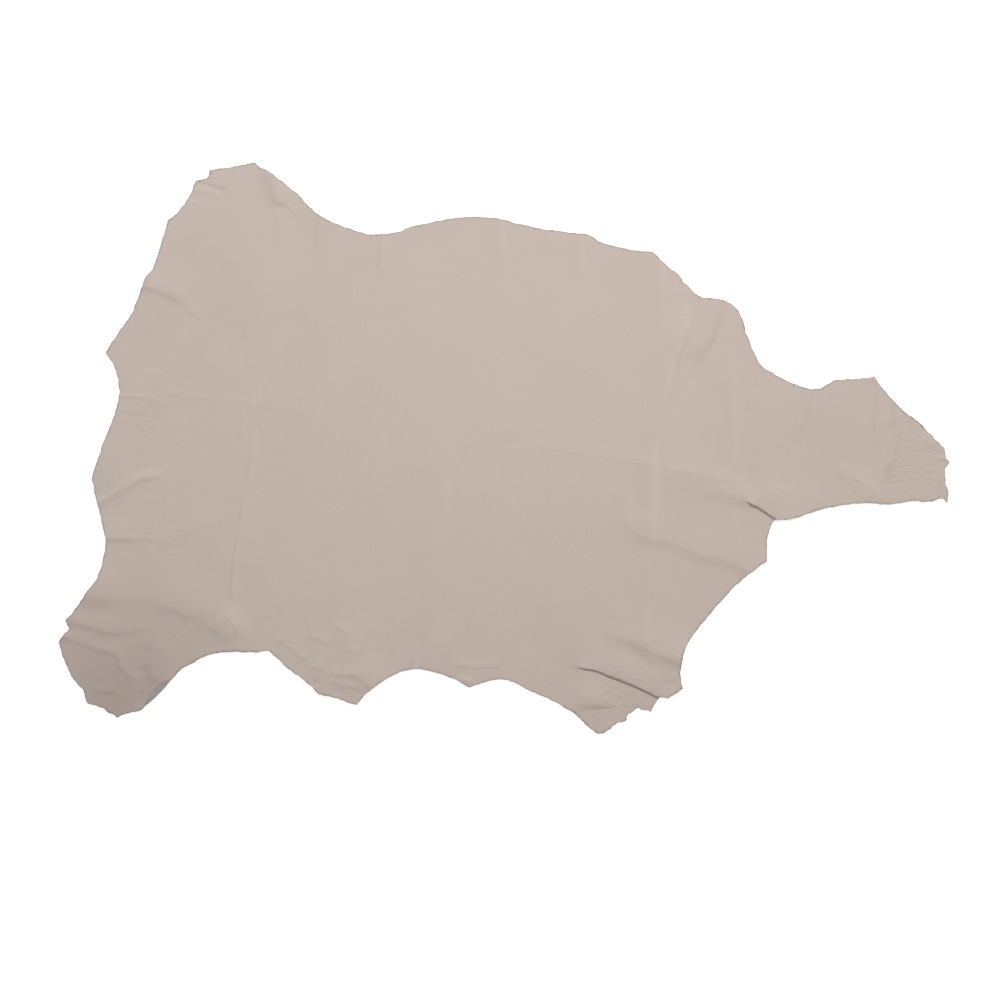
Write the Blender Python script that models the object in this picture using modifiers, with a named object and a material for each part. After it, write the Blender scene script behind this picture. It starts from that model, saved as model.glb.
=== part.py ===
"""A whole leather hide: one thin, soft skin lying flat on its flesh side, with the grain side up.

The skin is one cut sheet, so it is one object. Its shape is built in three steps:
  1. the cut edge and every fold are laid out on the opened skin, as points in the plane;
  2. the skin is laid down: two pleats close over themselves, one stretch of edge turns up and
     over, and the low folds and waves raise the sheet from the surface;
  3. the sheet is given its thickness.

The length runs along X with the neck at +X, the width along Y, and the skin rests on z = 0.
All sizes in this file are millimetres, and MM turns them into metres where vertices are made.
"""

import math
from collections import namedtuple

import bmesh
import bpy
from mathutils import Vector, geometry, kdtree, noise

MM = 0.001

# ---------------------------------------------------------------- driving dimensions
THICKNESS = 1.2            # soft garment leather, where it is thickest
THINNING = 0.15            # share of the thickness that is missing in the thinnest places
THINNING_LENGTH = 90.0     # from one thin place to the next
BEND_RADIUS = 1.05         # of the middle of the sheet where it folds back on itself
FLESH_OUTSIDE = BEND_RADIUS + THICKNESS / 2   # radius of the flesh side round such a bend
FLESH_INSIDE = BEND_RADIUS - THICKNESS / 2    # the same where the flesh side is within it
EDGE_STEP = 12.0           # between points along the cut edge
FOLD_STEP = 15.0           # between points along a fold's crest and feet
FINE_SPACING = 11.0        # of the grid that the skin's points are thinned from
NEAR_SPACING = 8.8         # between points beside an edge or a fold
OPEN_SPACING = 28.0        # between points where the skin lies flat
SPACING_GROWTH = 0.35      # how fast the spacing opens out away from edges and folds
EDGE_CLEARANCE = 8.2       # kept free between a point and the edges and folds
FOLD_CLEARANCE = 6.6       # kept free between the points of two folds
EDGE_LIFT_REACH = 45.0     # how far in from the cut edge its waves die out
WAVE_HEIGHT = 3.8          # slow unevenness of the whole skin
WAVE_LENGTH = 150.0
WAVE_SEED = 4.3
THINNING_SEED = 7.1
FOLD_UNEVENNESS = 0.45     # share by which a fold's height wanders along it
FOLD_UNEVEN_LENGTH = 38.0
REST_PATCH = (-85.0, 95.0)  # middle of the flat place that the skin rests on
REST_RADIUS = 32.0

SKIN_COLOUR = (0.62, 0.52, 0.45, 1.0)
SKIN_ROUGHNESS = 0.55

# ---------------------------------------------------------------- tables
# The cut edge, anticlockwise from the hind foot. A run goes from one corner to the next as one
# smooth curve through its points, and ends where the next run starts. Lift is how far the edge
# stands off the surface along that run.
EdgeRun = namedtuple("EdgeRun", "name lift points")
EDGE = (
    EdgeRun("hind foot, rear", 0.6, ((-410, 355), (-415, 344), (-425, 325))),
    EdgeRun("hock", 0.3, ((-439, 309), (-443, 305))),
    EdgeRun("hind leg, rear", 0.5, ((-447, 303), (-459, 264))),
    EdgeRun("hind leg, low", 1.6, ((-467, 239), (-479, 224), (-485, 205))),
    EdgeRun("rump", 0.4, ((-496, 177), (-503, 169))),
    EdgeRun("tail, high", 0.9, ((-531, 126), (-520, 111), (-513, 87), (-513, 64), (-528, 21), (-540, -12))),
    EdgeRun("tail, low", 1.4, ((-549, -42), (-544, -65), (-537, -93))),
    EdgeRun("second leg, rear", 1.0, ((-530, -124), (-532, -140), (-541, -173), (-555, -191), (-571, -216))),
    EdgeRun("second foot, nick", 1.2, ((-584, -230),)),
    EdgeRun("second foot, rear", 1.2, ((-579, -241), (-588, -251), (-593, -259), (-589, -273), (-576, -305))),
    EdgeRun("second foot, toe", 0.5, ((-560, -323), (-558, -332))),
    EdgeRun("second foot, end", 0.3, ((-555, -341), (-535, -347))),
    EdgeRun("second foot, heel", 0.4, ((-514, -360), (-501, -354))),
    EdgeRun("turned edge", 0.4, ((-487, -352), (-476, -345), (-455, -323), (-443, -308))),
    EdgeRun("second leg, front", 1.5, ((-435, -299), (-417, -288), (-395, -277), (-368, -272))),
    EdgeRun("belly, nick", 1.2, ((-326, -273), (-320, -271))),
    EdgeRun("belly, rear", 0.8, ((-312, -271), (-300, -283), (-281, -299), (-261, -314))),
    EdgeRun("belly, rear point", 0.5, ((-246, -329), (-223, -333), (-207, -340))),
    EdgeRun("belly, long bay", 0.9, ((-195, -343), (-185, -329), (-172, -319), (-143, -301),
                                     (-121, -295), (-101, -297), (-72, -306))),
    EdgeRun("belly, middle", 0.6, ((-45, -320), (-12, -309), (9, -311), (37, -325), (67, -338))),
    EdgeRun("flap, rear", 0.2, ((95, -354), (104, -363), (117, -375))),
    EdgeRun("flap, end", 0.3, ((126, -381), (135, -380), (148, -369))),
    EdgeRun("flap, corner", 0.2, ((163, -364), (167, -355))),
    EdgeRun("flap, front", 0.0, ((179, -347),)),
    EdgeRun("flap, under", 0.0, ((196, -352), (201, -344), (205, -338))),
    EdgeRun("elbow, low", 0.0, ((209, -333), (219, -333), (226, -329))),
    EdgeRun("elbow, front", 0.7, ((239, -321), (236, -304), (237, -293), (241, -271))),
    EdgeRun("shoulder, front", 0.9, ((249, -255), (263, -236), (283, -213), (312, -181))),
    EdgeRun("shoulder, throat", 0.2, ((351, -151), (352, -119), (357, -102))),
    EdgeRun("throat", 0.3, ((367, -98), (385, -95), (411, -86), (432, -80), (463, -75), (484, -73),
                            (513, -76))),
    EdgeRun("throat, end", 0.7, ((543, -71), (568, -72), (581, -68), (587, -68))),
    EdgeRun("neck end, low", 1.2, ((592, -75), (593, -67), (591, -51), (589, -44), (590, -36), (589, -28))),
    EdgeRun("neck end, high", 1.0, ((595, -19), (590, -14))),
    EdgeRun("cheek", 0.8, ((588, -1), (573, 15), (552, 36), (535, 47), (519, 64), (505, 80))),
    EdgeRun("nape", 0.5, ((494, 95), (472, 92))),
    EdgeRun("nape, bay", 0.8, ((439, 90), (431, 84), (421, 78), (409, 78), (388, 85), (363, 97))),
    EdgeRun("second shoulder", 0.5, ((343, 109), (335, 124), (327, 145), (322, 157), (320, 169), (314, 182))),
    EdgeRun("foreleg, end", 1.4, ((305, 192), (296, 195), (283, 200), (267, 199), (257, 203))),
    EdgeRun("foreleg, rear", 0.9, ((247, 215), (240, 220), (236, 229), (215, 245))),
    EdgeRun("flank, high", 0.6, ((199, 261), (173, 263), (147, 269))),
    EdgeRun("flank, fore", 0.9, ((128, 274), (119, 282), (88, 287), (36, 295))),
    EdgeRun("flank, crown", 0.5, ((-7, 306), (-37, 308), (-68, 306), (-99, 300))),
    EdgeRun("flank, rear", 1.1, ((-124, 295), (-139, 288), (-160, 285), (-179, 284), (-196, 289),
                                 (-219, 297), (-243, 308))),
    EdgeRun("groin", 0.9, ((-257, 319), (-271, 335), (-295, 355))),
    EdgeRun("hind toe", 0.9, ((-317, 372), (-324, 373))),
    EdgeRun("hind foot, end", 0.5, ((-330, 380), (-348, 377), (-371, 373))),
    EdgeRun("hind foot, nick", 0.3, ((-392, 370), (-390, 366), (-393, 361), (-401, 357))),
)

# Places where the skin folds right back on itself: the upper layer's rim runs from the tip to
# the mouth at the cut edge, bowed to its left, and its left side lies on top. Lap is how far
# the three layers overlap at the mouth.
Pleat = namedtuple("Pleat", "name under_run tip mouth bow lap settle")
PLEATS = (
    Pleat("throat pleat", "shoulder, throat", (318, -69), (365, -97), 1.5, 6.5, 60.0),
    Pleat("elbow pleat", "flap, under", (93, -291), (207, -333), 4.0, 7.5, 55.0),
)

# The one stretch of cut edge that has turned up and over, so that the flesh side shows.
TURNED_RUN = "turned edge"
TURNED_LAP = 8.0

# Low folds that raise the skin, each a smooth crest line through its points. Lean moves the
# steep side to the right of the crest as it runs. Fades are how far each end takes to die out.
Fold = namedtuple("Fold", "name height half_width lean fade_in fade_out crest")
FOLDS = (
    Fold("groin strip", 3.4, 17, 0.35, 5, 60, ((-318, 378), (-304, 350), (-276, 326), (-240, 312))),
    Fold("hind foot ridge", 1.3, 13, 0.3, 15, 50, ((-412, 336), (-365, 333), (-318, 330))),
    Fold("hind foot end", 1.0, 10, 0.3, 4, 20, ((-408, 356), (-378, 349))),
    Fold("rump ripple", 2.6, 15, 0.4, 3, 45, ((-481, 212), (-440, 204), (-402, 187))),
    Fold("spine, rump", 2.2, 11, 0.25, 6, 20, ((-510, 71), (-470, 68), (-436, 67))),
    Fold("spine, loin", 1.5, 13, 0.5, 20, 70, ((-432, 70), (-352, 64), (-300, 56), (-250, 53))),
    Fold("loin crease", 1.3, 10, -0.2, 20, 30, ((-338, 50), (-347, 8), (-364, -120), (-374, -196))),
    Fold("tail wave, high", 1.6, 17, 0.45, 5, 40, ((-531, -42), (-488, -15), (-440, -8))),
    Fold("tail wave, low", 2.5, 11, 0.25, 3, 35, ((-540, -80), (-496, -52), (-446, -33))),
    Fold("leg ripple", 1.7, 10, 0.3, 3, 55, ((-529, -119), (-468, -121), (-412, -126))),
    Fold("leg fold", 3.6, 19, 0.45, 4, 5, ((-562, -197), (-515, -202), (-464, -208), (-402, -222),
                                         (-368, -238), (-357, -270))),
    Fold("leg fold, low", 1.8, 13, 0.4, 4, 40, ((-582, -226), (-534, -239), (-468, -236))),
    Fold("foot fold", 1.9, 12, 0.35, 4, 20, ((-590, -249), (-549, -262), (-518, -271), (-502, -296))),
    Fold("foot swell", 2.4, 22, 0.0, 25, 6, ((-508, -262), (-512, -300), (-506, -345))),
    Fold("shank swell", 2.6, 22, 0.0, 25, 5, ((-436, -246), (-445, -275), (-450, -305))),
    Fold("leg pinch", 2.0, 8, 0.4, 10, 20, ((-377, -210), (-366, -232), (-352, -256))),
    Fold("belly point, upper", 1.6, 12, 0.3, 35, 8, ((-313, -247), (-264, -276), (-232, -301), (-192, -316))),
    Fold("belly point, side", 1.5, 12, -0.3, 50, 8, ((-237, -188), (-203, -251), (-182, -312))),
    Fold("belly streak", 1.1, 11, 0.0, 30, 8, ((-98, -230), (-95, -262), (-92, -292))),
    Fold("belly, middle line", 1.0, 10, 0.4, 20, 25, ((-64, -288), (-35, -287), (-6, -289))),
    Fold("flap roll", 2.0, 12, 0.4, 3, 20, ((98, -344), (123, -339), (154, -324))),
    Fold("elbow fold", 2.6, 14, 0.45, 35, 4, ((148, -243), (191, -265), (236, -281))),
    Fold("chest fold", 2.8, 15, 0.4, 30, 50, ((146, -92), (199, -121), (270, -146), (330, -163))),
    Fold("spine, withers", 3.2, 24, 0.5, 90, 18, ((160, -26), (210, -38), (268, -47), (322, -62))),
    Fold("spine, back", 1.0, 11, 0.5, 30, 80, ((10, 20), (59, 2), (117, -9), (190, -20))),
    Fold("long girth fold", 1.5, 16, 0.0, 40, 50, ((214, 190), (226, 103), (217, 27), (208, -47), (212, -112),
                                                 (203, -200), (200, -240))),
    Fold("foreleg, rear ridge", 2.0, 13, 0.2, 10, 45, ((243, 200), (243, 165), (232, 115))),
    Fold("foreleg, fore ridge", 2.2, 12, -0.3, 3, 50, ((291, 194), (280, 150), (260, 100))),
    Fold("nape crease, rear", 1.3, 10, 0.2, 5, 40, ((311, 120), (311, 60), (312, -10))),
    Fold("nape crease", 1.6, 11, 0.3, 4, 30, ((400, 76), (398, 50), (391, 12))),
    Fold("neck crease, rear", 1.6, 11, 0.3, 4, 35, ((506, 78), (502, 45), (499, 15))),
    Fold("neck crease, fore", 1.5, 11, 0.3, 6, 45, ((532, 48), (524, 5), (513, -35))),
    Fold("throat ridge", 3.0, 12, 0.3, 20, 4, ((434, -22), (460, -44), (492, -71))),
    Fold("throat ridge, small", 1.4, 11, 0.3, 20, 4, ((474, -28), (494, -48), (514, -72))),
    Fold("throat line", 1.2, 11, 0.4, 10, 30, ((362, -62), (388, -72), (414, -85))),
    Fold("flank streak", 1.1, 12, 0.0, 6, 40, ((106, 282), (106, 250), (103, 212))),
    Fold("flank gather", 1.0, 14, 0.0, 6, 30, ((-190, 286), (-186, 262), (-178, 236))),
)


# ---------------------------------------------------------------- plane helpers
def smooth_step(value):
    """0 up to 0, 1 from 1 on, and a smooth S between."""
    t = min(1.0, max(0.0, value))
    return t * t * (3.0 - 2.0 * t)


def smooth_curve(points, step):
    """Points about step apart on a smooth curve through the given ones, both ends included."""
    knots = [Vector(point) for point in points]
    before = 2 * knots[0] - knots[1]
    after = 2 * knots[-1] - knots[-2]
    knots = [before] + knots + [after]
    result = []
    for a, b, c, d in zip(knots, knots[1:], knots[2:], knots[3:]):
        ta, tb = -math.sqrt((b - a).length), 0.0
        tc = math.sqrt((c - b).length)
        td = tc + math.sqrt((d - c).length)
        count = max(1, round((c - b).length / step))
        for i in range(count):
            t = tc * i / count
            ab = a.lerp(b, (t - ta) / (tb - ta))
            bc = b.lerp(c, t / tc)
            cd = c.lerp(d, (t - tc) / (td - tc))
            abc = ab.lerp(bc, (t - ta) / (tc - ta))
            bcd = bc.lerp(cd, t / td)
            result.append(abc.lerp(bcd, t / tc))
    result.append(knots[-2])
    return result


def edge_run_points(index):
    """One run of the cut edge with the corner that ends it."""
    following = EDGE[(index + 1) % len(EDGE)]
    return smooth_curve(EDGE[index].points + (following.points[0],), EDGE_STEP)


def rows_along(length, fine_start, fine_end, fine_step, step):
    """Distances from 0 to length, a fine step apart near the ends and a wider one between."""
    result = []
    s = 0.0
    while s < length - fine_step / 2:
        result.append(s)
        near_end = s < fine_start or s + step > length - fine_end
        s += fine_step if near_end else step
    return result + [length]


def bend(length, turn, distance):
    """How far forward and up a walk over a bend of that length and turn, and on, arrives."""
    if turn < 1e-4:
        return distance, 0.0
    heading = turn * min(distance, length) / length
    radius = length / turn
    rest = max(0.0, distance - length)
    forward = radius * math.sin(heading) + rest * math.cos(heading)
    up = radius * (1.0 - math.cos(heading)) + rest * math.sin(heading)
    return forward, up


# ---------------------------------------------------------------- pleats
Section = namedtuple("Section", "turn lower middle upper flat advance rise")


class OpenPleat:
    """A pleat's own axes, and the way between the opened skin and the skin as it lies.

    Along runs from the tip to the mouth. Across points to the upper layer, and is measured
    from the upper layer's rim. The upper side keeps its place when the pleat opens, and the
    lower side moves away by what the pleat takes up.
    """

    TURN_RUN = 24.0      # from the tip to where the layers lie right over each other
    SHORTEST_BEND = 1.4
    SHORTEST_MIDDLE = 2.0
    REACH = 130.0        # how far into the lower side the opening shift dies out
    OPENING_ROUNDS = 12
    BEND_STEPS = 5
    ROW_STEP = 6.5
    TIP_ROW_STEP = 3.0

    def __init__(self, row):
        self.row = row
        self.tip = Vector(row.tip)
        span = Vector(row.mouth) - self.tip
        self.length = span.length
        self.along = span.normalized()
        self.across = Vector((-self.along.y, self.along.x))

    def rim_offset(self, s):
        t = min(1.0, max(0.0, s / self.length))
        return 4.0 * self.row.bow * t * (1.0 - t)

    def section(self, s):
        """The lower bend, middle and upper bend of the flesh side, across the pleat at s."""
        turn = math.pi * smooth_step(s / self.TURN_RUN)
        lower = max(turn * FLESH_OUTSIDE, self.SHORTEST_BEND)
        upper = max(turn * FLESH_INSIDE, self.SHORTEST_BEND * (1.0 - turn / math.pi))
        middle = self.SHORTEST_MIDDLE + self.row.lap * max(0.0, s / self.length)
        lower_forward, lower_up = bend(lower, turn, lower + middle)
        upper_forward, upper_up = bend(upper, turn, upper)
        return Section(turn, lower, middle, upper, lower + middle + upper,
                       lower_forward + upper_forward, lower_up + upper_up)

    def axes(self, point):
        offset = point - self.tip
        s = offset.dot(self.along)
        return s, offset.dot(self.across) - self.rim_offset(s)

    def place(self, s, n):
        return self.tip + self.along * s + self.across * (n + self.rim_offset(s))

    def walk(self, s, distance):
        """Across and up after walking that far into the section from its lower side."""
        section = self.section(s)
        if distance <= section.lower + section.middle:
            forward, up = bend(section.lower, section.turn, distance)
            return BEND_RADIUS - section.advance + forward, up
        forward, up = bend(section.upper, section.turn, section.flat - distance)
        return BEND_RADIUS - forward, section.rise - up

    def lay(self, point):
        """A point of the opened skin as it lies: its place and its rise."""
        s, m = self.axes(point)
        if s <= 0.0:
            return point, 0.0
        section = self.section(s)
        low = BEND_RADIUS - section.flat
        if m >= BEND_RADIUS:
            held = 3 * BEND_RADIUS - section.advance
            return point, section.rise * (1.0 - smooth_step((m - held) / self.row.settle))
        if m >= low:
            n, up = self.walk(s, m - low)
            return self.place(s, n), up
        return self.place(s, m + self.shift(section, m)), 0.0

    def open_out(self, point):
        """The reverse of lay, for a point that shows on either side of the rim."""
        s, n = self.axes(point)
        if s <= 0.0 or n >= 0.0:
            return point
        section = self.section(s)
        m = n
        for _ in range(self.OPENING_ROUNDS):
            m = n - self.shift(section, m)
        return self.place(s, m)

    def shift(self, section, m):
        """How far the lower side moves towards the rim when the opened pleat closes."""
        beyond = BEND_RADIUS - section.flat - m
        return (section.flat - section.advance) * (1.0 - smooth_step(beyond / self.REACH))

    def grid(self):
        """Rows of points over both bends of the opened pleat, from tip to mouth."""
        rows = []
        for s in rows_along(self.length, self.TURN_RUN, 0.0, self.TIP_ROW_STEP, self.ROW_STEP):
            section = self.section(s)
            shares = [k / self.BEND_STEPS for k in range(self.BEND_STEPS + 1)]
            walks = [section.lower * share for share in shares]
            walks.append(section.lower + section.middle / 2)
            walks += [section.flat - section.upper * share for share in reversed(shares)]
            low = BEND_RADIUS - section.flat
            rows.append([self.place(s, low + distance) for distance in walks])
        return rows


class TurnedEdge:
    """The stretch of cut edge that turns up and over. Out is away from the skin."""

    BEND_STEPS = 5
    ROW_STEP = 6.0
    END_ROW_STEP = 3.0
    END_RUN = 24.0
    TURN_SHARE = 0.9     # how far into the turned stretch the edge has turned right over
    WIDTH_POWER = 1.6    # above 1, so that little stands up where the edge is half turned
    SHORTEST_BEND = 0.8
    BENT_SHARE = 0.7     # most of the width that the bend may take

    def __init__(self):
        index = [run.name for run in EDGE].index(TURNED_RUN)
        self.start = Vector(EDGE[index].points[0])
        middle = smooth_curve(EDGE[index].points + (EDGE[index + 1].points[0],), 1.0)
        span = Vector(EDGE[index + 1].points[0]) - self.start
        self.length = span.length
        self.along = span.normalized()
        self.out = Vector((self.along.y, -self.along.x))
        self.bow = max((point - self.start).dot(self.out) for point in middle)

    def rim_offset(self, s):
        t = min(1.0, max(0.0, s / self.length))
        return 4.0 * self.bow * t * (1.0 - t)

    def section(self, s):
        """Turn, bend length and flat width of what lies beyond the bend's start."""
        t = min(1.0, max(0.0, s / self.length))
        share = math.sin(math.pi * t)
        turn = math.pi * smooth_step(share / self.TURN_SHARE)
        length = max(turn * FLESH_OUTSIDE, self.SHORTEST_BEND)
        fullest = TURNED_LAP + math.pi * FLESH_OUTSIDE
        width = FLESH_OUTSIDE + (fullest - FLESH_OUTSIDE) * share ** self.WIDTH_POWER
        return turn, length, width

    def axes(self, point):
        offset = point - self.start
        s = offset.dot(self.along)
        return s, offset.dot(self.out) - self.rim_offset(s)

    def place(self, s, n):
        return self.start + self.along * s + self.out * (n + self.rim_offset(s))

    def lay(self, point):
        """A point of the opened skin as it lies: its place and its rise."""
        s, m = self.axes(point)
        away = m <= -FLESH_OUTSIDE or m > 3 * TURNED_LAP
        if away or s <= 0.0 or s >= self.length:
            return point, 0.0
        turn, length, _ = self.section(s)
        forward, up = bend(length, turn, m + FLESH_OUTSIDE)
        return self.place(s, forward - FLESH_OUTSIDE), up

    def grid(self):
        """Rows of points over the opened turn, each from the bend's start to the cut edge."""
        rows = []
        places = rows_along(self.length, self.END_RUN, self.END_RUN, self.END_ROW_STEP, self.ROW_STEP)
        for s in places[1:-1]:
            _, length, width = self.section(s)
            bent = min(length, self.BENT_SHARE * width)
            walks = [bent * k / self.BEND_STEPS for k in range(self.BEND_STEPS)]
            walks += [bent, (bent + width) / 2, width]
            rows.append([self.place(s, distance - FLESH_OUTSIDE) for distance in walks])
        return rows


# ---------------------------------------------------------------- relief
class Relief:
    """How high the sheet stands off the surface at a place, apart from pleats and the turn."""

    CREST_STEP = 4.0
    RIM_NEIGHBOURS = 4   # points of the cut edge that a place takes its lift from

    def __init__(self):
        self.folds = [(fold, smooth_curve(fold.crest, self.CREST_STEP)) for fold in FOLDS]
        self.rim = []
        for index, run in enumerate(EDGE):
            after = EDGE[(index + 1) % len(EDGE)]
            points = edge_run_points(index)
            for i, point in enumerate(points[:-1]):
                share = smooth_step(i / len(points))
                self.rim.append((point, run.lift + (after.lift - run.lift) * share))
        self.tree = kdtree.KDTree(len(self.rim))
        for i, (point, _) in enumerate(self.rim):
            self.tree.insert((point.x, point.y, 0.0), i)
        self.tree.balance()

    def edge_lift(self, place):
        near = self.tree.find_n((place.x, place.y, 0.0), self.RIM_NEIGHBOURS)
        distance = near[0][2]
        if distance >= EDGE_LIFT_REACH:
            return 0.0
        weights = [1.0 / (1.0 + spot[2]) for spot in near]
        lifts = [self.rim[spot[1]][1] for spot in near]
        lift = sum(w * h for w, h in zip(weights, lifts)) / sum(weights)
        return lift * (1.0 - distance / EDGE_LIFT_REACH) ** 2

    def fold_height(self, fold, crest, place):
        """Height of one fold at a place: a soft ridge, steeper on the side that it leans to."""
        reach = fold.half_width * (1.0 + abs(fold.lean))
        best, walked, nearest = reach, 0.0, None
        for a, b in zip(crest, crest[1:]):
            span = b - a
            size = span.length
            t = min(1.0, max(0.0, (place - a).dot(span) / (size * size)))
            offset = place - (a + span * t)
            if offset.length < best:
                best = offset.length
                side = 1.0 if span.x * offset.y - span.y * offset.x >= 0.0 else -1.0
                nearest = (walked + t * size, side)
            walked += size
        if nearest is None:
            return 0.0
        along, side = nearest
        width = fold.half_width * (1.0 + side * fold.lean)
        fade = smooth_step(along / fold.fade_in) * smooth_step((walked - along) / fold.fade_out)
        if along <= 0.0 and fold.fade_in < EDGE_STEP:
            fade = smooth_step((walked - along) / fold.fade_out)
        if along >= walked and fold.fade_out < EDGE_STEP:
            fade = smooth_step(along / fold.fade_in)
        sample = Vector((along / FOLD_UNEVEN_LENGTH, fold.height, fold.half_width))
        uneven = 1.0 + FOLD_UNEVENNESS * noise.noise(sample)
        profile = 0.5 * (1.0 + math.cos(math.pi * min(1.0, best / width)))
        return fold.height * fade * uneven * profile

    def wave(self, place):
        """Slow waves that leave about half of the skin in touch with the surface."""
        sample = Vector((place.x / WAVE_LENGTH, place.y / WAVE_LENGTH, WAVE_SEED))
        return WAVE_HEIGHT * max(0.0, noise.noise(sample))

    def height(self, place):
        raised = self.wave(place) + self.edge_lift(place)
        raised += sum(self.fold_height(fold, crest, place) for fold, crest in self.folds)
        away = (place - Vector(REST_PATCH)).length - REST_RADIUS
        return raised * smooth_step(away / REST_RADIUS)


# ---------------------------------------------------------------- the opened skin as a mesh
class OpenedSkin:
    """Points and constraint edges of the opened skin, and their triangulation."""

    RELAX_PASSES = 4

    def __init__(self, pleats, turned):
        self.pleats = pleats
        self.turned = turned
        self.points = []
        self.links = []
        self.ring = []
        self.add_ring()
        self.add_folds()
        self.fixed_count = len(self.points)
        self.fill()
        self.relax()

    def add(self, point):
        self.points.append(point)
        return len(self.points) - 1

    def add_grid(self, rows):
        """A grid of points, linked along its rows and columns. Returns the rows' numbers."""
        numbers = [[self.add(point) for point in row] for row in rows]
        for row in numbers:
            self.links += zip(row, row[1:])
        for row, following in zip(numbers, numbers[1:]):
            self.links += zip(row, following)
        return numbers

    def open_out(self, point):
        for pleat in self.pleats:
            point = pleat.open_out(point)
        return point

    def add_ring(self):
        """The cut edge, with the hidden edges at the pleats' mouths and the turned stretch."""
        mouths = {pleat.row.under_run: self.add_grid(pleat.grid())[-1] for pleat in self.pleats}
        turned_rows = self.add_grid(self.turned.grid())
        for index, run in enumerate(EDGE):
            points = edge_run_points(index)
            if run.name == TURNED_RUN:
                self.ring.append(self.add(self.open_out(points[0])))
                self.ring += [row[-1] for row in turned_rows]
                continue
            after_mouth = index > 0 and EDGE[index - 1].name in mouths
            first = 1 if after_mouth else 0
            if run.name in mouths:
                points = smooth_curve(run.points, EDGE_STEP)
                self.ring += [self.add(self.open_out(point)) for point in points]
                self.ring += mouths[run.name]
                continue
            self.ring += [self.add(self.open_out(point)) for point in points[first:-1]]
        self.links += zip(self.ring, self.ring[1:] + self.ring[:1])

    def add_folds(self):
        """Points along each fold's crest and feet, where they keep clear of the others."""
        outline = [self.points[number] for number in self.ring]
        for fold in FOLDS:
            crest = smooth_curve(fold.crest, FOLD_STEP)
            for i, point in enumerate(crest):
                heading = (crest[min(i + 1, len(crest) - 1)] - crest[max(i - 1, 0)]).normalized()
                left = Vector((-heading.y, heading.x))
                left_foot = fold.half_width * (1.0 + fold.lean)
                right_foot = fold.half_width * (1.0 - fold.lean)
                for offset in (0.0, left_foot, -right_foot):
                    spot = self.open_out(point + left * offset)
                    if inside(spot, outline) and self.clear(spot, FOLD_CLEARANCE):
                        self.add(spot)

    def clear(self, spot, distance):
        return all((spot - other).length > distance for other in self.points)

    def fill(self):
        """The rest of the skin: a fine grid, thinned to the spacing that each place asks for."""
        outline = [self.points[number] for number in self.ring]
        near_fixed = kdtree.KDTree(len(self.points))
        for number, point in enumerate(self.points):
            near_fixed.insert((point.x, point.y, 0.0), number)
        near_fixed.balance()
        cell = OPEN_SPACING
        taken = {}
        row_step = FINE_SPACING * math.sqrt(3.0) / 2.0
        low = Vector((min(p.x for p in outline), min(p.y for p in outline)))
        high = Vector((max(p.x for p in outline), max(p.y for p in outline)))
        for j in range(int((high.y - low.y) / row_step)):
            shift = FINE_SPACING / 2 if j % 2 else 0.0
            for i in range(int((high.x - low.x) / FINE_SPACING)):
                spot = low + Vector((shift + FINE_SPACING * i, row_step * j))
                reach = near_fixed.find((spot.x, spot.y, 0.0))[2]
                if reach < EDGE_CLEARANCE or not inside(spot, outline):
                    continue
                spacing = min(OPEN_SPACING, NEAR_SPACING + SPACING_GROWTH * reach)
                key = (int(spot.x // cell), int(spot.y // cell))
                around = [other for a in (-1, 0, 1) for b in (-1, 0, 1)
                          for other in taken.get((key[0] + a, key[1] + b), ())]
                if all((spot - other).length >= spacing for other in around):
                    taken.setdefault(key, []).append(spot)
                    self.add(spot)

    def triangulate(self):
        """Triangles between the points, inside the cut edge."""
        ring_first = [list(self.ring)]
        result = geometry.delaunay_2d_cdt(self.points, self.links, ring_first, 1, 1e-5)
        return result[0], result[2]

    def relax(self):
        """Each filled-in point moves to the middle of its neighbours, a few times over."""
        for _ in range(self.RELAX_PASSES):
            places, faces = self.triangulate()
            if len(places) != len(self.points):
                raise ValueError("constraint edges of the opened skin cross each other")
            around = [set() for _ in self.points]
            for face in faces:
                for a in face:
                    around[a].update(face)
            for number in range(self.fixed_count, len(self.points)):
                others = [self.points[other] for other in around[number] if other != number]
                if others:
                    self.points[number] = sum(others, Vector((0.0, 0.0))) / len(others)


def inside(spot, outline):
    """Whether a place lies inside a closed outline."""
    crossings = False
    for a, b in zip(outline, outline[1:] + outline[:1]):
        if (a.y > spot.y) != (b.y > spot.y):
            if spot.x < a.x + (spot.y - a.y) * (b.x - a.x) / (b.y - a.y):
                crossings = not crossings
    return crossings


# ---------------------------------------------------------------- the skin
def lay_down(skin, relief):
    """The flesh side's points as they lie, in metres, round the middle of the outline."""
    laid = []
    for point in skin.points:
        place, rise = skin.turned.lay(point)
        for pleat in skin.pleats:
            place, pleat_rise = pleat.lay(place)
            rise += pleat_rise
        laid.append(Vector((place.x, place.y, relief.height(place) + rise)))
    middle_x = (min(p.x for p in laid) + max(p.x for p in laid)) / 2
    middle_y = (min(p.y for p in laid) + max(p.y for p in laid)) / 2
    return [Vector(((p.x - middle_x) * MM, (p.y - middle_y) * MM, p.z * MM)) for p in laid]


def skin_substance(place):
    """How full the skin is at a place, from 0 where it is thinnest to 1."""
    sample = Vector((place.x / THINNING_LENGTH, place.y / THINNING_LENGTH, THINNING_SEED))
    return min(1.0, max(0.0, 0.5 + noise.noise(sample)))


def skin_material():
    material = bpy.data.materials.new("hide leather")
    material.use_nodes = True
    shader = material.node_tree.nodes["Principled BSDF"]
    shader.inputs["Base Color"].default_value = SKIN_COLOUR
    shader.inputs["Roughness"].default_value = SKIN_ROUGHNESS
    shader.inputs["Metallic"].default_value = 0.0
    return material


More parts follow.
